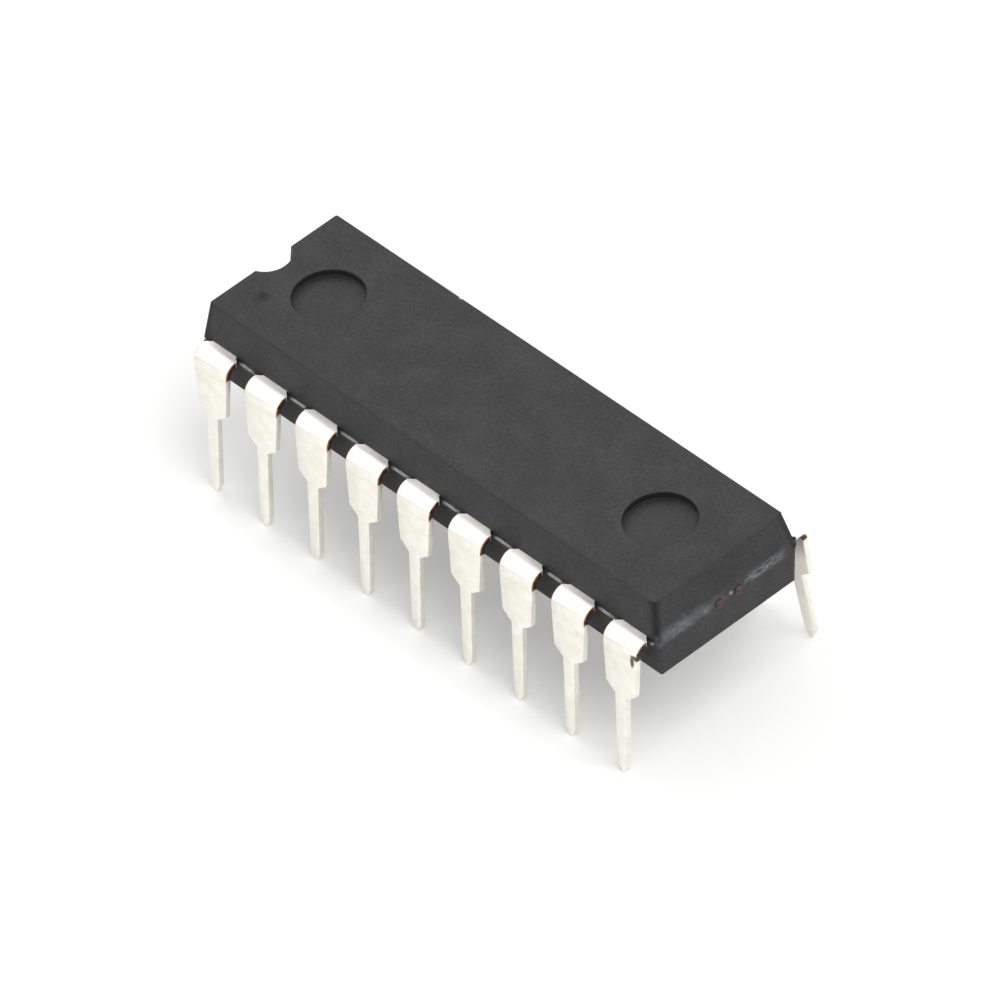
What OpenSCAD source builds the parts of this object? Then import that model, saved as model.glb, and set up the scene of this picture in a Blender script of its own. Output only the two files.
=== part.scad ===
/* [Body] */
// Length of the moulded body at the parting line
body_len = 22.6; // [22.2:0.1:24]
// Width of the moulded body at the parting line
body_wid = 6.4; // [6.1:0.05:6.5]
// Height of the body above the parting line
body_above = 1.55; // [1.4:0.05:2]
// Depth of the body below the parting line
body_below = 1.55; // [1.2:0.05:2]
// Draft of the sides above the parting line, in degrees
draft_above = 10; // [5:0.5:15]
// Draft of the sides below the parting line, in degrees
draft_below = 4; // [3:0.5:15]
// Step in from the upper mould half to the lower one
parting_step = 0.02; // [0.01:0.01:0.06]
// Rounding of the edges round the top and the bottom
edge_r = 0.1; // [0.05:0.01:0.2]
// Rounding of the four upright corner edges
corner_r = 0.18; // [0.08:0.01:0.3]
// How far the resin ledge between the leads stands out
ledge_out = 0.09; // [0.06:0.01:0.16]

/* [Marks in the moulding] */
// Radius of the half-round notch at the pin 1 end, at the top face
notch_r = 0.88; // [0.6:0.02:1]
// Height of the floor of the notch above the parting line
notch_floor = 0.25; // [0.2:0.05:0.8]
// Draft of the wall of the notch, in degrees
notch_draft = 4; // [0:0.5:8]
// Diameter of the ejector recesses in the top and the bottom
recess_d = 2.6; // [2:0.1:3]
// Distance between the centres of two ejector recesses
recess_span = 16.4; // [12:0.2:17]
// Depth of the ejector recesses in the top face
recess_depth = 0.27; // [0.08:0.01:0.3]
// Depth of the ejector recesses in the bottom face
base_recess_depth = 0.1; // [0.05:0.01:0.25]
// Diameter of the dished dimple that marks pin 1
dot_d = 0.6; // [0.4:0.05:0.9]
// Depth of the dished dimple that marks pin 1
dot_depth = 0.14; // [0.06:0.01:0.2]
// Distance of the dimple from the end of the top face
dot_end = 1.15; // [0.6:0.05:1.2]
// Distance of the dimple from the long side of the top face
dot_side = 1.35; // [0.6:0.05:1.6]

/* [Leads] */
// Spacing of the leads along a row
pitch = 2.54; // [2.3:0.01:2.58]
// Distance between the outer faces of the two rows at their bends
row_span = 7.83; // [7.7:0.01:8.25]
// Height of the parting line above the tips of the leads
lead_drop = 5.65; // [5:0.05:6.5]
// Thickness of the stamped lead frame
lead_t = 0.22; // [0.16:0.01:0.3]
// Inner radius of the bend
bend_r = 0.29; // [0.2:0.01:0.42]
// Outward splay of the legs, in degrees
splay = 5.6; // [0:0.1:8]
// Width of a lead where it leaves the body
root_w = 1.2; // [1:0.02:1.5]
// Width of the shoulder at the bend
shoulder_w = 1.62; // [1.5:0.02:1.8]
// Width of the shoulder at its lower end
shoulder_end_w = 1.4; // [1.1:0.02:1.6]
// Depth of the lower end of the shoulder below the parting line
shoulder_drop = 2.05; // [1.5:0.05:2.6]
// Length of the slanted neck between shoulder and blade
neck_l = 0.32; // [0.15:0.01:0.5]
// Width of the blade under the neck
blade_w = 0.54; // [0.4:0.01:0.6]
// Width of the blade above the pointed tip
blade_end_w = 0.46; // [0.36:0.01:0.5]
// Length of the pointed tip
tip_l = 0.36; // [0.3:0.02:0.8]
// Width across the rounded end of the tip
tip_w = 0.26; // [0.1:0.01:0.3]

/* [Lead frame inside the body] */
// Depth of the wide root of a lead inside the body
root_depth = 0.45; // [0.3:0.05:0.6]
// Diameter of the hole in the root that the resin locks into
lock_d = 0.3; // [0.2:0.02:0.36]
// Depth of the elbow of a finger inside the body
elbow_depth = 0.8; // [0.7:0.05:0.95]
// Width of the fingers
finger_w = 0.3; // [0.2:0.01:0.34]
// Gap between the die paddle and the fingers
finger_gap = 0.4; // [0.25:0.05:0.5]
// Spacing of the finger tips along a long side of the die paddle
side_pitch = 1.05; // [0.8:0.05:1.15]
// Spacing of the finger tips along a short side of the die paddle
end_pitch = 0.52; // [0.45:0.01:0.56]
// Length of the die paddle
paddle_l = 4.6; // [3.8:0.1:5]
// Width of the die paddle
paddle_w = 2.8; // [2.6:0.1:3]
// How far the die paddle is pressed down below the fingers
downset = 0.3; // [0.2:0.01:0.4]
// Width of a tie bar
tie_w = 0.25; // [0.2:0.01:0.3]
// Distance between the middles of the two tie bars at an end
tie_span = 0.86; // [0.7:0.02:0.9]
// Length of the slope from a tie bar down to the paddle
tie_slope_l = 0.5; // [0.3:0.05:0.8]
// How far the cut end of a tie bar stands out of the body
tie_out = 0.03; // [0:0.01:0.06]

/* [Die and bond wires] */
// Length of the die
die_l = 3.2; // [3:0.1:3.6]
// Width of the die
die_w = 2.3; // [1.6:0.1:2.5]
// Thickness of the die
die_t = 0.28; // [0.2:0.01:0.4]
// Thickness of the adhesive under the die
attach_t = 0.03; // [0.02:0.01:0.06]
// Width of the adhesive that shows round the die
attach_rim = 0.08; // [0.04:0.01:0.12]
// Spacing of the bond pads along the die
pad_pitch = 0.32; // [0.24:0.01:0.34]
// Distance of the bond pads from the edge of the die
pad_inset = 0.12; // [0.06:0.01:0.2]
// Diameter of a bond wire
wire_d = 0.033; // [0.025:0.001:0.05]
// Diameter of the ball at the die end of a bond wire
ball_d = 0.09; // [0.07:0.005:0.12]
// Height of the loop of a bond wire
loop_h = 0.22; // [0.15:0.01:0.35]
// Distance of the bond from the tip of its finger
bond_inset = 0.16; // [0.1:0.01:0.25]

/* [Hidden] */
$fn = 48;
row_pins = 9;
pins = 2 * row_pins;
middle_pin = (row_pins + 1) / 2;

resin_grey = "#3d3d40";
tin_white = "#dedbd0";
frame_copper = "#b5734a";
silicon_grey = "#5b6470";
adhesive_silver = "#a8a8a4";
wire_gold = "#d9a93a";

// Heights of the frame, the paddle and what lies on it
frame_top = lead_drop + lead_t / 2;
frame_bottom = lead_drop - lead_t / 2;
paddle_top = frame_top - downset;
attach_top = paddle_top + attach_t;
die_top = attach_top + die_t;

// The wall of the body at the parting line, and the depths of root and elbow behind it
wall_y = body_wid / 2;
root_y = wall_y - root_depth;
elbow_y = wall_y - elbow_depth;

// The bend: its outer radius, and its centre in Y and Z
bend_outer_r = bend_r + lead_t;
bend_y = row_span / 2 - bend_outer_r;
bend_z = frame_top - bend_outer_r;

// Lengths along the leg, from the end of the bend
leg_l = (bend_z + bend_r * sin(splay)) / cos(splay);
shoulder_l = (bend_z + bend_outer_r * sin(splay) - lead_drop + shoulder_drop) / cos(splay);
blade_start = shoulder_l + neck_l;
tip_start = leg_l - tip_l;
tip_round = leg_l - tip_w / 2;

// The top face, where the recesses and the dimple are measured from
top_z = lead_drop + body_above;
top_half_l = body_len / 2 - body_above * tan(draft_above);
top_half_w = body_wid / 2 - body_above * tan(draft_above);

// A cut goes this far past the surface that it opens
past = 0.5;

// The formed strip starts this far inside the stub, where both have their full width
lap = 0.04;

// Fingers on each side of the middle one that end along the long side of the paddle
side_fingers = 2;

// Sides of a bond wire
wire_sides = 12;

// Height of the ball and the stitch of a bond wire, next to the wire's diameter
bond_squash = 1.1;
bond_h = bond_squash * wire_d;

// Place along the row of near lead n, counted from pin 1
function row_x(n) = (n - middle_pin) * pitch;

// Tip of the finger of near lead n: the middle leads end along the long side of the
// paddle, and the two at each end of the row end along its short side
function finger_tip(n) =
    let (i = abs(n - middle_pin), s = sign(n - middle_pin))
    i <= side_fingers
        ? [s * i * side_pitch, -(paddle_w / 2 + finger_gap)]
        : [s * (paddle_l / 2 + finger_gap), -(tie_span / 2 + (middle_pin - i) * end_pitch)];

// Normal to the left of the line from a to b
function left_of(a, b) = let (d = (b - a) / norm(b - a)) [-d[1], d[0]];

// Corner of a band of width w that runs from a through b to c, on the left of b
function band_corner(a, b, c, w) =
    let (n = left_of(a, b), m = n + left_of(b, c))
    b + m * w / 2 / (m * n);

// Bond pad of near lead n on the die, and the place on its finger where the wire lands
function pad(n) = [(n - middle_pin) * pad_pitch, -(die_w / 2 - pad_inset)];
function landing(n) =
    let (tip = finger_tip(n), elbow = [row_x(n), -elbow_y])
    tip + (elbow - tip) / norm(elbow - tip) * bond_inset;

// Everything on the far row is the near row turned half a turn about the middle
module in_row(n) {
    far = n > row_pins;
    rotate([0, 0, far ? 180 : 0]) children();
}
function near_pin(n) = n > row_pins ? n - row_pins : n;

// Body: one half of the mould's cavity, its parting face at z = 0

// Outline of a mould half across the body: drafted sides and a rounded outer edge
module half_outline(span, h, draft, r) {
    edge = span / 2 - h * tan(draft);
    run = r * tan(45 - draft / 2);
    polygon([
        [-span / 2, 0],
        [span / 2, 0],
        [edge + run * sin(draft), h - run * cos(draft)],
        [edge - run, h],
        [-(edge - run), h],
        [-(edge + run * sin(draft)), h - run * cos(draft)]
    ]);
    for (s = [-1, 1])
        translate([s * (edge - run), h - r]) circle(r);
}

// What the rounding takes off one upright corner edge, seen along that edge
module corner_waste(draft, r) {
    half_corner = 90 - acos(pow(sin(draft), 2)) / 2;
    touch_x = -r * pow(cos(half_corner), 2) / sin(half_corner);
    touch_y = r * cos(half_corner);
    difference() {
        translate([touch_x, -touch_y]) square([2 * r, 2 * touch_y]);
        translate([-r / sin(half_corner), 0]) circle(r);
    }
}

module mould_half(len, wid, h, draft) {
    lean = atan(sqrt(2) * tan(draft));
    difference() {
        intersection() {
            rotate([90, 0, 0]) linear_extrude(wid + past, center = true) half_outline(len, h, draft, edge_r);
            rotate([90, 0, 90]) linear_extrude(len + past, center = true) half_outline(wid, h, draft, edge_r);
        }
        for (sx = [0, 1], sy = [0, 1])
            mirror([sx, 0, 0]) mirror([0, sy, 0])
                translate([len / 2, wid / 2, 0]) rotate([0, 0, 45]) rotate([0, -lean, 0])
                    translate([0, 0, -past]) linear_extrude(h + 2 * past) corner_waste(draft, corner_r);
    }
}

module ejector_recesses() {
    for (s = [-1, 1]) translate([s * recess_span / 2, 0, 0]) {
        translate([0, 0, top_z - recess_depth]) cylinder(h = recess_depth + past, d = recess_d);
        translate([0, 0, lead_drop - body_below - past])
            cylinder(h = base_recess_depth + past, d = recess_d);
    }
}

module end_notch() {
    depth = body_above - notch_floor;
    flare = tan(notch_draft);
    translate([-body_len / 2, 0, lead_drop + notch_floor])
        cylinder(h = depth + past, r1 = notch_r - depth * flare, r2 = notch_r + past * flare);
}

module pin_one_dimple() {
    dish_r = (dot_d * dot_d / 4 + dot_depth * dot_depth) / (2 * dot_depth);
    translate([dot_end - top_half_l, dot_side - top_half_w, top_z - dot_depth + dish_r]) sphere(dish_r);
}

// Thin resin ledge left between the leads, below the parting line
module resin_ledge() {
    length = body_len - 2 * corner_r;
    width = body_wid + 2 * ledge_out;
    translate([-length / 2, -width / 2, frame_bottom]) cube([length, width, lead_t / 2]);
}

module body() {
    color(resin_grey) difference() {
        union() {
            translate([0, 0, lead_drop]) mould_half(body_len, body_wid, body_above, draft_above);
            translate([0, 0, lead_drop]) mirror([0, 0, 1])
                mould_half(body_len - 2 * parting_step, body_wid - 2 * parting_step, body_below, draft_below);
            resin_ledge();
        }
        ejector_recesses();
        end_notch();
        pin_one_dimple();
        for (n = [1:pins]) in_row(n) {
            frame_finger(near_pin(n));
            wire(near_pin(n), $fn);
        }
        paddle_with_bars();
        adhesive();
        chip();
    }
}

// Leads: each is one stamped and formed piece, from finger tip to leg tip

// Flat part of near lead n: stub outside the wall, wide root with its lock hole, finger
module frame_finger(n) {
    x = row_x(n);
    start = [x, -(root_y + finger_w / 2)];
    elbow = [x, -elbow_y];
    tip = finger_tip(n);
    end_normal = left_of(elbow, tip) * finger_w / 2;
    translate([0, 0, frame_bottom]) linear_extrude(lead_t) {
        difference() {
            translate([x, 0]) polygon([
                [-shoulder_w / 2, -bend_y],
                [shoulder_w / 2, -bend_y],
                [shoulder_w / 2, lap - bend_y],
                [root_w / 2, -wall_y],
                [root_w / 2, -root_y],
                [-root_w / 2, -root_y],
                [-root_w / 2, -wall_y],
                [-shoulder_w / 2, lap - bend_y]
            ]);
            translate([x, -(wall_y + root_y) / 2]) circle(d = lock_d);
        }
        polygon([
            [x + finger_w / 2, start[1]],
            band_corner(tip, elbow, start, finger_w),
            tip - end_normal,
            tip + end_normal,
            band_corner(start, elbow, tip, finger_w),
            [x - finger_w / 2, start[1]]
        ]);
    }
}

// Side of the formed strip, drawn about the centre of the bend: what lies within its outer
// faces, less what lies within its inner ones and behind its lap
module strip_side() {
    far = bend_outer_r + past;
    difference() {
        union() {
            circle(bend_outer_r);
            translate([-lap, 0]) square([lap, bend_outer_r]);
            rotate(splay) translate([0, -leg_l - past]) square([bend_outer_r, leg_l + past]);
        }
        circle(bend_r);
        translate([-far, -far]) square([far, far + bend_r]);
        translate([-far - lap, -far]) square([far, 2 * far]);
        rotate(splay) translate([-far, -leg_l - 2 * past]) square([far + bend_r, leg_l + 2 * past]);
    }
}

// Front of the formed strip, drawn from above the bend down to the tip
module strip_front() {
    polygon([
        [-shoulder_w / 2, bend_outer_r + past],
        [-shoulder_w / 2, 0],
        [-shoulder_end_w / 2, -shoulder_l],
        [-blade_w / 2, -blade_start],
        [-blade_end_w / 2, -tip_start],
        [-tip_w / 2, -tip_round],
        [tip_w / 2, -tip_round],
        [blade_end_w / 2, -tip_start],
        [blade_w / 2, -blade_start],
        [shoulder_end_w / 2, -shoulder_l],
        [shoulder_w / 2, 0],
        [shoulder_w / 2, bend_outer_r + past]
    ]);
    translate([0, -tip_round]) circle(d = tip_w);
}

module lead(n) {
    color(tin_white) in_row(n) {
        frame_finger(near_pin(n));
        translate([row_x(near_pin(n)), -bend_y, bend_z]) rotate([90, 0, -90]) intersection() {
            linear_extrude(shoulder_w + past, center = true) strip_side();
            rotate([0, 0, splay]) translate([-past, 0, 0]) rotate([0, 90, 0])
                linear_extrude(bend_outer_r + 2 * past) strip_front();
        }
    }
}

// Die paddle: a pressed-down plate on two tie bars at each end, whose cut ends show

module paddle_with_bars() {
    slope_start = paddle_l / 2 + tie_w;
    slope_end = slope_start + tie_slope_l;
    bar_end = body_len / 2 + tie_out;
    translate([-paddle_l / 2, -paddle_w / 2, paddle_top - lead_t]) cube([paddle_l, paddle_w, lead_t]);
    for (turn = [0, 180], s = [-1, 1])
        rotate([0, 0, turn]) translate([0, s * tie_span / 2 + tie_w / 2, 0])
            rotate([90, 0, 0]) linear_extrude(tie_w) polygon([
                [0, paddle_top],
                [slope_start, paddle_top],
                [slope_end, frame_top],
                [bar_end, frame_top],
                [bar_end, frame_bottom],
                [slope_end, frame_bottom],
                [slope_start, paddle_top - lead_t],
                [0, paddle_top - lead_t]
            ]);
}

module die_paddle() {
    color(frame_copper) paddle_with_bars();
}

// Die and the adhesive that holds it to the paddle

module adhesive() {
    length = die_l + 2 * attach_rim;
    width = die_w + 2 * attach_rim;
    translate([-length / 2, -width / 2, paddle_top]) cube([length, width, attach_t]);
}

module chip() {
    translate([-die_l / 2, -die_w / 2, attach_top]) cube([die_l, die_w, die_t]);
}

module die_attach() {
    color(adhesive_silver) adhesive();
}

module die() {
    color(silicon_grey) chip();
}

// Bond wires: a ball on the die, an arched loop and a flat stitch on the finger. The resin
// round a wire leaves a true round, and the wire itself has a few flat sides

module wire(n, sides) {
    rise = frame_top - die_top;
    reach = norm(landing(n) - pad(n));
    chord = norm([reach, rise]);
    arc_r = (chord * chord / 4 + loop_h * loop_h) / (2 * loop_h);
    half_arc = asin(chord / 2 / arc_r);
    run = landing(n) - pad(n);
    translate([pad(n)[0], pad(n)[1], die_top]) {
        cylinder(h = bond_h, d = ball_d);
        translate([0, 0, bond_h / 2])
            rotate([0, 0, atan2(run[1], run[0])]) rotate([0, -atan2(rise, reach), 0])
                translate([chord / 2, 0, loop_h - arc_r]) rotate([90, 0, 0]) rotate([0, 0, 90 - half_arc])
                    rotate_extrude(angle = 2 * half_arc) translate([arc_r, 0])
                        circle(d = wire_d, $fn = sides);
    }
    translate([landing(n)[0], landing(n)[1], frame_top]) cylinder(h = bond_h, d = ball_d);
}

module bond_wire(n) {
    color(wire_gold) in_row(n) wire(near_pin(n), wire_sides);
}

body();
die_paddle();
die_attach();
die();
for (n = [1:pins]) lead(n);
for (n = [1:pins]) bond_wire(n);
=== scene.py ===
import math

import bmesh
import bpy
from mathutils import Matrix, Vector


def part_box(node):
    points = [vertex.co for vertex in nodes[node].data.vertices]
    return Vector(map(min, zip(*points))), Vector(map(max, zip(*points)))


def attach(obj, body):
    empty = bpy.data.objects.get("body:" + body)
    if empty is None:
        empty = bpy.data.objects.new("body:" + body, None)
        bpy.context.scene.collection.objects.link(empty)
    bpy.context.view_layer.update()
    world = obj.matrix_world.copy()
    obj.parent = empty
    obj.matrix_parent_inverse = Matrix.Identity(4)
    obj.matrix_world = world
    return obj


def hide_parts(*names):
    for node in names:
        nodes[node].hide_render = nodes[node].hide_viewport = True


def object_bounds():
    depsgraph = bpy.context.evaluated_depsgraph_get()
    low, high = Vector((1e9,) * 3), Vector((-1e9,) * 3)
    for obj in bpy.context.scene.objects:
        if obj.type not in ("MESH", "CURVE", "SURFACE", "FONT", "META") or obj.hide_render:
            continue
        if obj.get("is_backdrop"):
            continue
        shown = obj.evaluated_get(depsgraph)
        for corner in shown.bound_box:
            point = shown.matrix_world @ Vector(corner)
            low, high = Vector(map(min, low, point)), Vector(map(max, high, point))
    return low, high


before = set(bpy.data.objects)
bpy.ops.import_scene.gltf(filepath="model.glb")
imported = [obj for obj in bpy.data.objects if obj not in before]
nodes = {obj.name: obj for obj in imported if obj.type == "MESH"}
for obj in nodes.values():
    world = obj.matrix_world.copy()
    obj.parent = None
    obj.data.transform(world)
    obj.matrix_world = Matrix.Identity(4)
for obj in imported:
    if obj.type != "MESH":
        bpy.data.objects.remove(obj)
cad_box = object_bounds()


# The die paddle: the pressed-down middle of the lead frame, stamped from copper alloy. The resin
# holds it at two tie bars on each end, whose ends were cut off flush with the body and show there.

class Shade:
    """A shader socket that takes part in Python expressions."""

    def __init__(self, tree, socket=None):
        self.tree = tree
        self.socket = socket

    def node(self, kind, settings=None, sockets=None, output=0):
        """A node of this type: its settings first, then the values or links of its sockets."""
        made = self.tree.nodes.new("ShaderNode" + kind)
        for name, value in (settings or {}).items():
            if name == "stops":
                ramp = made.color_ramp
                while len(ramp.elements) < len(value):
                    ramp.elements.new(1.0)
                for element, (position, colour) in zip(ramp.elements, value):
                    element.position = position
                    element.color = colour
            else:
                setattr(made, name, value)
        for name, value in (sockets or {}).items():
            if isinstance(value, Shade):
                self.tree.links.new(value.socket, made.inputs[name])
            else:
                made.inputs[name].default_value = value
        return Shade(self.tree, made.outputs[output] if made.outputs else None)

    def math(self, operation, *values):
        return self.node("Math", {"operation": operation}, dict(enumerate(values)))

    def __add__(self, other):
        return self.math("ADD", self, other)

    def __radd__(self, other):
        return self.math("ADD", other, self)

    def __sub__(self, other):
        return self.math("SUBTRACT", self, other)

    def __rsub__(self, other):
        return self.math("SUBTRACT", other, self)

    def __mul__(self, other):
        return self.math("MULTIPLY", self, other)

    def __rmul__(self, other):
        return self.math("MULTIPLY", other, self)

    def __truediv__(self, other):
        return self.math("DIVIDE", self, other)

    def __rtruediv__(self, other):
        return self.math("DIVIDE", other, self)

    def __abs__(self):
        return self.math("ABSOLUTE", self)

    def __round__(self):
        return self.math("ROUND", self)

    def rise(self, low, high):
        """0 below low, 1 above high, and a smooth step between them; it falls where low is above high."""
        return self.node("MapRange", {"interpolation_type": "SMOOTHSTEP"},
                         {"Value": self, "From Min": low, "From Max": high})

    def mix(self, a, b):
        """Colour a where this is 0, colour b where it is 1."""
        return self.node("Mix", {"data_type": "RGBA"}, {0: self, 6: a, 7: b}, 2)

    def xyz(self):
        return [self.node("SeparateXYZ", None, {0: self}, axis) for axis in "XYZ"]

    def stretch(self, x, y, z):
        """This vector with its parts multiplied."""
        return self.node("VectorMath", {"operation": "MULTIPLY"}, {0: self, 1: (x, y, z)})

    def away(self, x, y, z):
        """Distance from this vector to a point."""
        return self.node("VectorMath", {"operation": "DISTANCE"}, {0: self, 1: (x, y, z)}, "Value")

    def grain(self, scale, detail=2.0, roughness=0.5):
        """Noise with this many grains a millimetre."""
        return self.node("TexNoise", None, {
            "Vector": self, "Scale": scale, "Detail": detail, "Roughness": roughness})

    def cells(self, scale):
        """Distance to the nearest of scattered points, with this many of them a millimetre."""
        return self.node("TexVoronoi", None, {"Vector": self, "Scale": scale})

    def bump(self, strength, height_mm, normal=None):
        """A relief with this socket as its height."""
        sockets = {"Strength": strength, "Distance": height_mm / 1000.0, "Height": self}
        if normal is not None:
            sockets["Normal"] = normal
        return self.node("Bump", None, sockets)


def finish(name):
    """A new material, and its Object coordinates in millimetres."""
    material = bpy.data.materials.new(name)
    material.use_nodes = True
    material.node_tree.nodes.clear()
    start = Shade(material.node_tree)
    place = start.node("TexCoord", output="Object")
    return material, place.node("VectorMath", {"operation": "SCALE"}, {0: place, "Scale": 1000.0})


def paint(place, **sockets):
    """Ends a material with the main shader."""
    named = {name.replace("_", " "): value for name, value in sockets.items()}
    place.node("OutputMaterial", None, {"Surface": place.node("BsdfPrincipled", None, named)})


def layered(base, *layers):
    """The base colour under layers of paint, each given as how much it covers and its colour."""
    for cover, colour in layers:
        base = cover.mix(base, colour)
    return base


def dress(node, material):
    """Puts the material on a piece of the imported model."""
    slots = nodes[node].material_slots
    if not slots:
        nodes[node].data.materials.append(material)
    for one in nodes[node].material_slots:
        one.material = material


copper, place = finish("bare_copper")
x, y, z = place.xyz()
shear = place.stretch(1, 14, 2).grain(3.0, 4.0)
tarnish = place.grain(6.0, 3.0)
relief = (shear * 0.7 + place.grain(40.0) * 0.3).bump(0.6, 0.01)
tone = tarnish.rise(0.35, 0.7).mix((0.30, 0.115, 0.055, 1), (0.50, 0.235, 0.135, 1))
tone = shear.rise(0.5, 0.8).mix(tone, (0.13, 0.055, 0.035, 1))
# The cut ends in the open air are dull and dark
body_len = 22.6
cut_end = abs(x).rise(body_len / 2 - 0.06, body_len / 2)
cut_tone = place.grain(5.0, 3.0).rise(0.42, 0.62).mix((0.022, 0.016, 0.015, 1), (0.105, 0.048, 0.033, 1))
paint(place, Base_Color=cut_end.mix(tone, cut_tone), Metallic=0.7 - cut_end * 0.5,
      Roughness=tarnish * 0.25 + 0.38 + cut_end * 0.15, Normal=relief)
dress("die_paddle", copper)


# The die and its adhesive: a sawn chip of silicon with aluminium pads along its two long sides,
# set in a thin layer of silver-filled resin that squeezes out round it.

silver_resin, place = finish("silver_adhesive")
flakes = place.cells(55.0)
lumps = place.grain(9.0, 3.0)
paint(place, Base_Color=flakes.rise(0.1, 0.5).mix((0.62, 0.62, 0.60, 1), (0.34, 0.34, 0.33, 1)), Metallic=0.35,
      Roughness=lumps * 0.3 + 0.4, Normal=(flakes * 0.5 + lumps).bump(0.5, 0.008))
dress("die_attach", silver_resin)

silicon, place = finish("silicon")
x, y, z = place.xyz()
die_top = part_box("die")[1].z * 1000
pad_pitch, pad_row, pad_half, last_pad = 0.32, 1.03, 0.055, 1.45
pad_x = abs(x - round(x / pad_pitch) * pad_pitch)
pad_y = abs(abs(y) - pad_row)
on_top = z.rise(die_top - 0.004, die_top - 0.001)
pads = pad_x.rise(pad_half, pad_half - 0.005) * pad_y.rise(pad_half, pad_half - 0.005)
pads = pads * abs(x).rise(last_pad, last_pad - 0.01) * on_top
blocks = place.node("TexBrick", {"offset": 0.5, "squash": 0.6}, {
    "Vector": place, "Scale": 3.0, "Mortar Size": 0.03, "Color1": (0.10, 0.115, 0.14, 1),
    "Color2": (0.17, 0.16, 0.155, 1), "Mortar": (0.26, 0.25, 0.22, 1)})
tracks = place.node("TexBrick", {"offset": 0.3, "squash": 1.7}, {
    "Vector": place, "Scale": 17.0, "Mortar Size": 0.12, "Color1": (0.8, 0.8, 0.8, 1),
    "Color2": (1.15, 1.15, 1.1, 1), "Mortar": (0.7, 0.7, 0.75, 1)})
circuit = tracks.node("Mix", {"data_type": "RGBA", "blend_type": "MULTIPLY"}, {0: 1.0, 6: blocks, 7: tracks}, 2)
sawn = place.stretch(1, 1, 30).grain(4.0, 3.0)
face = on_top.mix(sawn.mix((0.13, 0.135, 0.15, 1), (0.20, 0.205, 0.22, 1)), circuit)
paint(place, Base_Color=pads.mix(face, (0.78, 0.78, 0.76, 1)), Metallic=pads * 0.5 + 0.35,
      Roughness=0.34 - on_top * 0.14 + sawn * 0.1, Normal=(tracks * 0.3 + sawn * 0.7).bump(0.25, 0.003))
dress("die", silicon)


# The bond wires: fine drawn gold wires from the pads of the die to the fingers of the leads. Each
# is welded by heat and ultrasound, as a ball on the die and a flattened stitch on its finger.

leads = 18
gold, place = finish("gold_wire")
drawn = place.grain(30.0, 2.0)
warm = place.grain(3.0, 2.0)
paint(place, Base_Color=warm.mix((0.80, 0.52, 0.14, 1), (0.90, 0.63, 0.22, 1)), Metallic=1.0,
      Roughness=drawn * 0.2 + 0.2, Normal=drawn.bump(0.3, 0.001))
for n in range(1, leads + 1):
    dress(f"bond_wire_{n}", gold)


# The leads: 18 strips stamped from copper alloy and plated with matt tin, then bent down. The dam
# bars between them were cut out after plating, so bare copper shows on the sides of the bends.

lead_spacing = 2.54
shoulder_half_w = 0.81
stock = 0.22
parting_z = 5.65
bend_y, bend_z = 3.405, 5.25
edge_round = 0.022


def rolled_copy(node, name, width):
    """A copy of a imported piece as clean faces, with its edges rounded as by stamping."""
    mesh = bpy.data.meshes.new(name)
    work = bmesh.new()
    work.from_mesh(nodes[node].data)
    bmesh.ops.remove_doubles(work, verts=work.verts, dist=2e-7)
    bmesh.ops.dissolve_limit(work, angle_limit=math.radians(0.6), verts=work.verts, edges=work.edges)
    for face in work.faces:
        face.smooth = True
    work.to_mesh(mesh)
    work.free()
    piece = bpy.data.objects.new(name, mesh)
    bpy.context.scene.collection.objects.link(piece)
    bevel = piece.modifiers.new("stamped edges", "BEVEL")
    bevel.width = width / 1000.0
    bevel.segments = 2
    bevel.limit_method = "ANGLE"
    bevel.angle_limit = math.radians(32)
    bevel.use_clamp_overlap = False
    bevel.harden_normals = True
    return piece


tin, place = finish("matt_tin")
x, y, z = place.xyz()
across = x - round(x / lead_spacing) * lead_spacing
out = abs(y)
below = parting_z - z
# Soft mottling, the fine grain of the plating and the draw marks of the forming tool
mottle = place.grain(2.2, 3.0, 0.55)
cloudy = place.grain(0.8, 2.0)
fine = place.grain(45.0, 2.0, 0.6)
draw = place.stretch(1, 1, 0.08).grain(14.0, 3.0)
# The tool left a crease under the bend, and two faint ones lower down, each darkened with painted shade; above
# it the bend is lightened with a painted highlight
under_bend = below - 0.2 + (cloudy - 0.5) * 0.08 + across * 0.065
crease_a = abs(under_bend).rise(0.08, 0.0)
crease_b = abs(below - 0.6 + (cloudy - 0.5) * 0.3 + across * 0.1).rise(0.12, 0.0) * 0.4
crease_c = abs(below - 1.1 + (cloudy - 0.5) * 0.5 - across * 0.1).rise(0.15, 0.0) * 0.3
crease_and_shade = (crease_a + crease_b + crease_c) * out.rise(3.6, 3.75)
bend_painted_highlight = under_bend.rise(0.07, -0.07)
# Bare copper where the dam bars were cut out, from the end of the stub to a torn lower edge
torn = place.grain(7.0, 3.0)
far_row = y.rise(0.0, 1.0)
cut_side = abs(across).rise(shoulder_half_w - 0.03, shoulder_half_w - 0.01)
cut_zone = (below + (torn - 0.5) * 0.2 + far_row * 0.12).rise(0.50, 0.42)
cut_zone = cut_zone * out.rise(bend_y - 0.015, bend_y + 0.025)
cut_zone = cut_zone * cut_side * (1 - far_row * below.rise(0.12, 0.02))
lead_top = parting_z + stock / 2
stub_cut = out.rise(bend_y + 0.015, bend_y - 0.025) * z.rise(lead_top - 0.012, lead_top - 0.032)
bare = place.math("MAXIMUM", cut_zone, stub_cut)
both_rows = place.node("VectorMath", {"operation": "ABSOLUTE"}, {0: place})
from_bend = both_rows.stretch(0, 1, 1).away(0, bend_y, bend_z)
lit_copper_fringe = from_bend.rise(0.44, 0.49) * out.rise(bend_y - 0.005, bend_y + 0.045)
lit_copper_fringe = place.math("MAXIMUM", lit_copper_fringe, z.rise(lead_top - 0.07, lead_top - 0.03))
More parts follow.
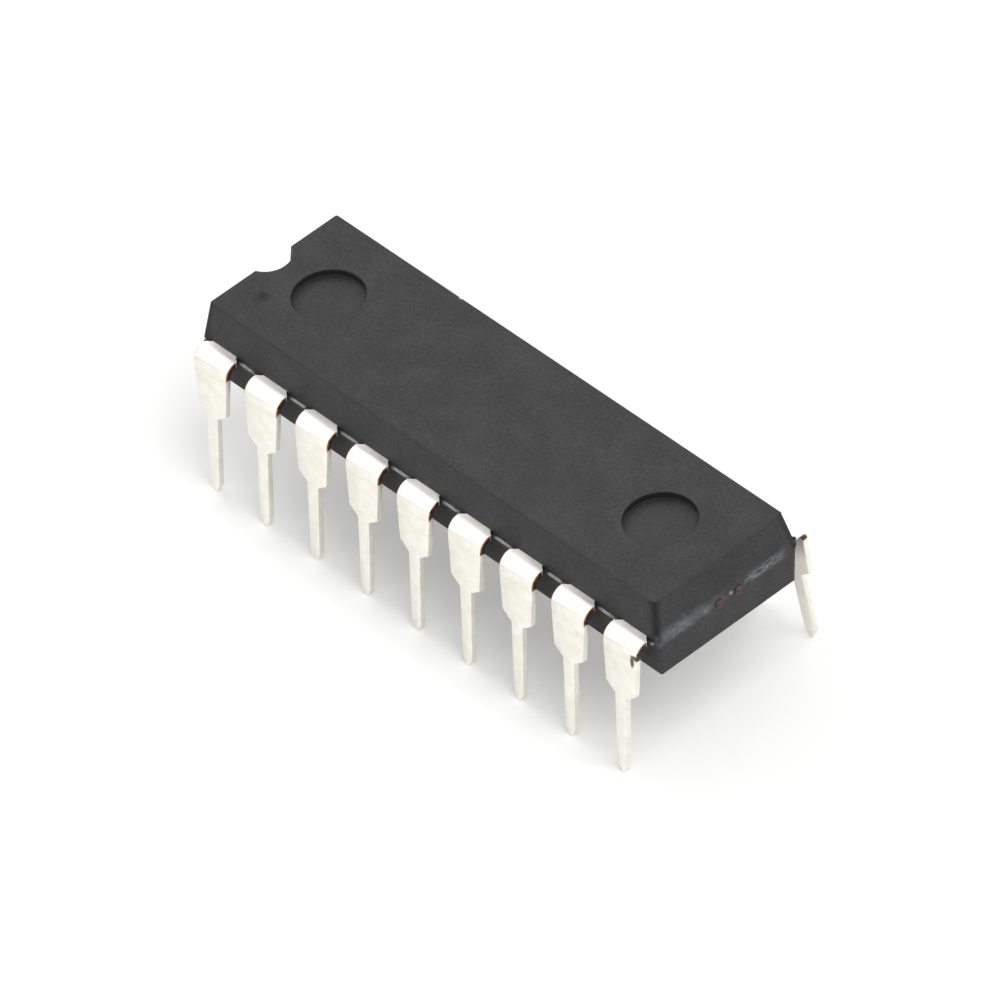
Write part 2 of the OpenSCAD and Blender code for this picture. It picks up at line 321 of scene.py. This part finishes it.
# The copper colour is painted shade: dark brown on the shaded sides of the bends, with a lighter orange fringe
# along the outer edges as painted light
copper_shaded_and_lit = layered(
    torn.rise(0.48, 0.68).mix((0.022, 0.0075, 0.004, 1), (0.10, 0.033, 0.014, 1)),
    (lit_copper_fringe * torn.rise(0.36, 0.5), (0.46, 0.20, 0.06, 1)))
# A tan smudge on one lead, and a dark hook-shaped nick beside the edge of another
smudge = (place.away(8.06, -3.96, 4.73) + (torn - 0.5) * 0.15).rise(0.13, 0.02) * torn.rise(0.3, 0.6)
shank = place.stretch(1, 0, 0.36).away(10.77, 0, 5.1 * 0.36) + (torn - 0.5) * 0.05
barb = place.stretch(0.4, 0, 1).away(10.9 * 0.4, 0, 5.31) + (torn - 0.5) * 0.05
nick = place.math("MINIMUM", shank, barb).rise(0.12, 0.055) * y.rise(-3.6, -3.7)
tip_stain = x.rise(9.9, 10.1) * y.rise(-4.2, -4.3) * z.rise(0.3, 0.1) * across.rise(0.02, -0.2)
lead_tone = layered(
    mottle.rise(0.32, 0.68).mix((0.885, 0.86, 0.765, 1), (0.95, 0.93, 0.865, 1)),
    (bend_painted_highlight * 0.85, (0.985, 0.975, 0.93, 1)),
    (crease_and_shade * 0.5, (0.74, 0.73, 0.64, 1)),
    (smudge * 0.45, (0.66, 0.50, 0.27, 1)),
    (tip_stain * 0.5, (0.30, 0.27, 0.21, 1)),
    (bare, copper_shaded_and_lit),
    (nick * 0.9, (0.04, 0.024, 0.015, 1)))
relief = (draw * 0.25 + fine * 0.2 + mottle * 0.6 - crease_and_shade * 0.4 - nick * 1.2).bump(0.55, 0.02)
paint(place, Base_Color=lead_tone, Metallic=0.62 - bare * 0.3 - nick * 0.4,
      Roughness=0.40 + mottle * 0.16 + fine * 0.08 + bare * 0.15, Normal=relief)

for n in range(1, leads + 1):
    lead = rolled_copy(f"lead_{n}", f"formed_lead_{n}", edge_round)
    lead.data.materials.append(tin)
    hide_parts(f"lead_{n}")
    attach(lead, "root")


# The body: black resin moulded round the frame in two mould halves, whose spark-eroded walls give
# it a fine matt grain. Ejector pins left the round recesses, and the runner was broken off one end.

body_wid, top_z = 6.4, 7.2
upper_draft = math.tan(math.radians(10.0))
pin_x, pin_radius, pin_depth = 8.2, 1.3, 0.27
resin, place = finish("moulded_resin")
x, y, z = place.xyz()
out = abs(y)
above = z - parting_z
across = abs(x - round(x / lead_spacing) * lead_spacing)
speck = place.grain(9.0, 4.0, 0.7)
pit = place.cells(7.0)
blotch = place.grain(0.7, 3.0)
coarse = place.grain(3.0, 4.0, 0.6)
# The recesses that the ejector pins left, with smoother floors and painted shade on their walls, and painted
# shade in the dimple's middle
flat = place.stretch(1, 1, 0)
pin_floor_z = top_z - pin_depth
from_pin = flat.math("MINIMUM", flat.away(pin_x, 0, 0), flat.away(-pin_x, 0, 0))
pin_floor = z.rise(top_z - 0.03, top_z - 0.05) * z.rise(pin_floor_z - 0.08, pin_floor_z - 0.03)
pin_floor = pin_floor * from_pin.rise(pin_radius + 0.1, pin_radius + 0.05)
pin_wall_shade = pin_floor * from_pin.rise(pin_radius - 0.1, pin_radius - 0.01)
dimple_shade = flat.away(-9.98, -1.46, 0).rise(0.15, 0.09)
# How far a place lies inside the planes of the long sides and of the ends
side_in = body_wid / 2 - above * upper_draft - out
end_in = body_len / 2 - above * upper_draft - abs(x)
# Painted shade: a darker line along the top edges, and a dark band down the upright corners of the sides and
# ends
top_edge_shade = z.rise(top_z - 0.12, top_z - 0.06) * place.math("MINIMUM", side_in, end_in).rise(0.11, 0.05)
corner = side_in.rise(0.1, 0.03) * end_in.rise(0.45, 0.0) + end_in.rise(0.1, 0.03) * side_in.rise(0.4, 0.0)
corner = corner * (above.rise(-0.05, 0.1) * 0.75)
# The ledge at the parting line, pale where the resin tore, and painted shade on the wall round the leads' roots
ledge_top = abs(above).rise(0.03, 0.012) * out.rise(body_wid / 2 - 0.01, body_wid / 2 + 0.005)
pale = ledge_top * across.rise(0.75, 1.05) * place.grain(3.2, 3.0).rise(0.32, 0.54)
root_shade = above.rise(-0.05, 0.02) * above.rise(0.42, 0.05) * out.rise(3.0, 3.1)
root_shade = root_shade * abs(across - 0.75).rise(0.4, 0.05)
# Scuffs along the parting line of the end where the runner broke off
at_end = x.rise(body_len / 2 - 0.25, body_len / 2 - 0.1)
wobble = (flat.grain(0.9, 2.0) - 0.5) * 0.3
scratch = place.stretch(1, 0.35, 1.7).grain(9.0, 5.0, 0.75)
scuff_wide = at_end * abs(above - 0.1 + wobble).rise(0.34, 0.02) * y.rise(-3.15, -2.7) * y.rise(2.95, 2.5)
scuff_wide = scuff_wide * coarse.rise(0.35, 0.7)
scuff_fine = at_end * scratch.rise(0.4, 0.58) * y.rise(0.75, 1.1) * y.rise(2.9, 1.8)
scuff_fine = scuff_fine * abs(above - 0.09).rise(0.26, 0.08)


def end_mark(centre_y, centre_above, spread_y, spread_z, noise, ragged, reach, core):
    """A patch on the end with a ragged outline. A spread under 1 draws it out along Y or Z."""
    centre = (0, centre_y * spread_y, (parting_z + centre_above) * spread_z)
    distance = place.stretch(0, spread_y, spread_z).away(*centre)
    return at_end * (distance + (noise - 0.5) * ragged).rise(reach, core)


rubbed = end_mark(-2.08, 0.12, 0.25, 1, coarse, 0.5, 0.42, 0.05)
rubbed = rubbed + end_mark(-0.95, -0.06, 1, 1, coarse, 0.3, 0.3, 0.02) * 0.8
chalky = end_mark(0.14, 0.04, 1, 1, scratch, 0.2, 0.12, 0.0)
gouge = end_mark(0.9167, -0.06, 0.6, 1, scratch, 0.15, 0.13, 0.05)
rust = end_mark(0.5, -0.14, 1, 0.7, coarse, 0.2, 0.2, 0.05)
rust = rust + end_mark(-0.36, -0.1, 1, 0.7, coarse, 0.2, 0.22, 0.05)
# A fleck of dust on the far edge of the top
fleck = (place.away(-4.75, 2.9, 7.19) + (speck - 0.5) * 0.1).rise(0.09, 0.04)
mould_grain = (blotch * 0.3 + speck * 0.7).rise(0.37, 0.63)
black = layered(
    mould_grain.mix((0.0065, 0.0065, 0.0075, 1), (0.0275, 0.0275, 0.029, 1)),
    (pin_floor * 0.35, (0.013, 0.013, 0.0135, 1)),
    (dimple_shade * 0.9, (0.001, 0.001, 0.001, 1)),
    (pin_wall_shade * 0.8, (0.006, 0.006, 0.005, 1)),
    (top_edge_shade * 0.5, (0.012, 0.012, 0.0125, 1)),
    (corner.rise(0.0, 0.7), (0.002, 0.002, 0.0025, 1)),
    (root_shade * 0.6, (0.006, 0.005, 0.005, 1)),
    (pale * 0.85, (0.42, 0.42, 0.41, 1)),
    (scuff_wide * 0.4, (0.14, 0.145, 0.155, 1)),
    (scuff_fine * 0.6, (0.30, 0.31, 0.325, 1)),
    (rubbed * scratch.rise(0.3, 0.65) * 0.7, (0.19, 0.20, 0.225, 1)),
    (rust * 0.6, (0.13, 0.045, 0.03, 1)),
    (gouge * 0.85, (0.004, 0.004, 0.004, 1)),
    (chalky * 0.6, (0.45, 0.46, 0.47, 1)),
    (fleck * 0.9, (0.75, 0.74, 0.70, 1)))
soft_edges = place.node("Bevel", {"samples": 6}, {"Radius": 0.00005})
height = speck * 0.5 + pit * 0.15 + coarse * 0.2 + scuff_fine * 0.8 + pale * 0.5 - gouge
paint(place, Base_Color=black, Roughness=0.60 + speck * 0.12 - pin_floor * 0.06 + corner * 0.2,
      Normal=height.bump(0.7, 0.022, soft_edges))
dress("body", resin)


# The flash: thin, ragged flakes of resin that the mould pressed out over the ledge in the gaps
# between the leads. They are one with the body, and broke off pale when the dam bars were cut out.

flash_sizes = {"Gaps": 8, "Spacing": lead_spacing / 1000, "Length": 0.00093, "Wall": body_wid / 2000,
               "Reach": 0.00011, "Thickness": 0.00003, "Height": 0.005647, "Seed": 7, "Resin": resin}
flash = bpy.data.node_groups.new("mould_flash", "GeometryNodeTree")
flash.is_modifier = True
flash.interface.new_socket("Flash", in_out="OUTPUT", socket_type="NodeSocketGeometry")
for name, value in flash_sizes.items():
    kind = {int: "NodeSocketInt", float: "NodeSocketFloat"}.get(type(value), "NodeSocketMaterial")
    flash.interface.new_socket(name, in_out="INPUT", socket_type=kind)


def step(kind, settings=None, sockets=None, output=0):
    """A node of the flash: its settings first, then the values or links of its sockets."""
    made = flash.nodes.new(kind)
    for name, value in (settings or {}).items():
        setattr(made, name, value)
    for name, value in (sockets or {}).items():
        if isinstance(value, bpy.types.NodeSocket):
            flash.links.new(value, made.inputs[name])
        else:
            made.inputs[name].default_value = value
    return made.outputs[output]


def times(a, b):
    return step("ShaderNodeMath", {"operation": "MULTIPLY"}, {0: a, 1: b})


def vector(x=0.0, y=0.0, z=0.0):
    return step("ShaderNodeCombineXYZ", None, {0: x, 1: y, 2: z})


given = {socket.name: socket for socket in flash.nodes.new("NodeGroupInput").outputs if socket.name}
# The middles of the gaps on the near side
first_gap = step("ShaderNodeMath", {"operation": "MULTIPLY_ADD"}, {0: given["Gaps"], 1: -0.5, 2: 0.5})
gap_middles = step("GeometryNodeMeshLine", None, {
    "Count": given["Gaps"], "Offset": vector(x=given["Spacing"]),
    "Start Location": vector(times(first_gap, given["Spacing"]), times(given["Wall"], -1.0), given["Height"])})
# One flake, which keeps how far outwards each of its points lies: 0 at the wall, 1 at the rim
flake = step("GeometryNodeMeshCube", None, {
    "Size": vector(given["Length"], given["Reach"], given["Thickness"]),
    "Vertices X": 30, "Vertices Y": 3, "Vertices Z": 2})
local_y = step("ShaderNodeSeparateXYZ", None, {0: step("GeometryNodeInputPosition")}, 1)
outwards = step("ShaderNodeMapRange", None, {
    "Value": local_y, "From Min": times(given["Reach"], 0.5), "From Max": times(given["Reach"], -0.5)})
flake = step("GeometryNodeStoreNamedAttribute", {"data_type": "FLOAT", "domain": "POINT"}, {
    "Geometry": flake, "Name": "outwards", "Value": outwards})
# A flake of its own length in each gap, and the same row turned for the far side
cut_short = step("FunctionNodeRandomValue", {"data_type": "FLOAT"}, {
    "Min": 0.8, "Max": 1.0, "Seed": given["Seed"]}, 1)
near_row = step("GeometryNodeInstanceOnPoints", None, {
    "Points": gap_middles, "Instance": flake, "Scale": vector(cut_short, 1.0, 1.0)})
far_row = step("GeometryNodeTransform", None, {"Geometry": near_row, "Rotation": (0.0, 0.0, math.pi)})
both_rows = flash.nodes.new("GeometryNodeJoinGeometry")
flash.links.new(near_row, both_rows.inputs[0])
flash.links.new(far_row, both_rows.inputs[0])
flakes = step("GeometryNodeRealizeInstances", None, {"Geometry": both_rows.outputs[0]})
# The rims are torn: a noise moves their points in and out, and a little up and down
place_now = step("GeometryNodeInputPosition")
torn = step("ShaderNodeTexNoise", {"noise_dimensions": "4D"}, {
    "Vector": place_now, "W": given["Seed"], "Scale": 4200.0, "Detail": 3.0, "Roughness": 0.7})
torn = step("ShaderNodeMapRange", None, {
    "Value": torn, "From Min": 0.4, "From Max": 0.68, "To Min": -0.55, "To Max": 0.45})
torn = times(torn, step("GeometryNodeInputNamedAttribute", {"data_type": "FLOAT"}, {"Name": "outwards"}))
place_y = step("ShaderNodeSeparateXYZ", None, {0: place_now}, 1)
side = step("ShaderNodeMath", {"operation": "SIGN"}, {0: place_y})
shift = vector(y=times(torn, times(side, given["Reach"])), z=times(torn, times(given["Thickness"], 0.4)))
flakes = step("GeometryNodeSetPosition", None, {"Geometry": flakes, "Offset": shift})
flakes = step("GeometryNodeSetMaterial", None, {"Geometry": flakes, "Material": given["Resin"]})
flash.links.new(flakes, flash.nodes.new("NodeGroupOutput").inputs[0])

flakes = bpy.data.objects.new("mould_flash", bpy.data.meshes.new("no_flash"))
bpy.context.scene.collection.objects.link(flakes)
maker = flakes.modifiers.new("flash", "NODES")
maker.node_group = flash
for socket in flash.interface.items_tree:
    if socket.in_out == "INPUT":
        maker[socket.identifier] = flash_sizes[socket.name]
pressed_out = flakes.evaluated_get(bpy.context.evaluated_depsgraph_get())
mesh = bpy.data.meshes.new_from_object(pressed_out)
mesh.name = "mould_flash"
flakes.modifiers.clear()
flakes.data = mesh
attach(flakes, "root")


# The studio: the chip stands on its lead tips on a plain white table under soft lamps. The table
# stays white to the edge of the view, and takes only the soft shadow of the chip.

table_mesh = bpy.data.meshes.new("table")
half = 3.0
table_corners = [(-half, -half, 0), (half, -half, 0), (half, half, 0), (-half, half, 0)]
table_mesh.from_pydata(table_corners, [], [(0, 1, 2, 3)])
table = bpy.data.objects.new("table", table_mesh)
bpy.context.scene.collection.objects.link(table)
white_top, place = finish("white_table")


def seen_white(tree):
    """1 for the camera's rays and for mirrored ones, 0 for the light that falls on the chip."""
    return tree.math("MAXIMUM", tree.node("LightPath", output="Is Camera Ray"),
                     tree.node("LightPath", output="Is Glossy Ray"))


# Matt paper, brightened for the camera, and more so beyond the shadow of the chip
paper = place.grain(0.6, 2.0).mix((0.885, 0.885, 0.88, 1), (0.90, 0.90, 0.895, 1))
beyond = place.stretch(1, 1, 0).away(0, 0, 0).rise(30.0, 80.0)
matt = place.node("BsdfDiffuse", None, {"Color": paper})
glow = place.node("Emission", None, {
    "Color": (1, 1, 1, 1), "Strength": seen_white(place) * (beyond * 0.33 + 0.18)})
place.node("OutputMaterial", None, {"Surface": place.node("AddShader", None, {0: matt, 1: glow})})
table_mesh.materials.append(white_top)
table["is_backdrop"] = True

world = bpy.data.worlds.new("studio")
bpy.context.scene.world = world
world.use_nodes = True
world.node_tree.nodes.clear()
sky = Shade(world.node_tree)
tent = sky.node("Background", None, {"Color": (1, 1, 1, 1), "Strength": seen_white(sky) * 0.53 + 0.47})
sky.node("OutputWorld", None, {"Surface": tent})


def towards(azimuth, elevation):
    """The direction from the chip at this azimuth and elevation, in degrees."""
    turn, lift = math.radians(azimuth), math.radians(elevation)
    return Vector((math.sin(turn) * math.cos(lift), -math.cos(turn) * math.cos(lift), math.sin(lift)))


def soft_box(name, azimuth, elevation, level):
    """A square lamp aimed at the chip; level is how bright it alone makes a white surface that faces it."""
    distance = 0.5
    light = bpy.data.lights.new(name, "AREA")
    light.size = 0.34
    light.energy = level * (math.pi * distance) ** 2
    lamp = bpy.data.objects.new(name, light)
    ray = towards(azimuth, elevation)
    lamp.location = ray * distance
    lamp.rotation_euler = ray.to_track_quat("Z", "Y").to_euler()
    lamp.visible_camera = False
    bpy.context.scene.collection.objects.link(lamp)


soft_box("right", 90, 60, 0.50)
soft_box("back", 180, 30, 0.19)
soft_box("left", -90, 45, 0.20)
soft_box("front", 0, 25, 0.10)


# The camera: the photograph's view, from so far off that there is next to no perspective. Its
# place and lens were solved from the edges of the body and leads and from the lead tips.

view_azimuth, view_elevation, view_roll = 52.4287, 43.0758, -7.433
view_distance, aim_right, aim_up, aim_z = 542.6012, 0.1076, -1.9512, 5.53
photo_px, focal_px = 1002, 16230.05
turn, roll = math.radians(view_azimuth), math.radians(view_roll)
back = towards(view_azimuth, view_elevation)
level = Vector((math.cos(turn), math.sin(turn), 0.0))
steep = back.cross(level)
right = level * math.cos(roll) + steep * math.sin(roll)
upright = steep * math.cos(roll) - level * math.sin(roll)
spot = (back * view_distance + right * aim_right + upright * aim_up + Vector((0.0, 0.0, aim_z))) / 1000.0
lens = bpy.data.cameras.new("camera")
lens.sensor_width = 36.0
lens.lens = focal_px / photo_px * lens.sensor_width
lens.clip_start = 0.05
lens.clip_end = 20.0
camera = bpy.data.objects.new("camera", lens)
camera.matrix_world = Matrix((
    (right.x, upright.x, back.x, spot.x),
    (right.y, upright.y, back.y, spot.y),
    (right.z, upright.z, back.z, spot.z),
    (0.0, 0.0, 0.0, 1.0),
))
bpy.context.scene.collection.objects.link(camera)
bpy.context.scene.camera = camera
bpy.context.scene.view_settings.view_transform = "Standard"

{"cad": [list(corner) for corner in cad_box], "scene": [list(corner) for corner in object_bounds()]}
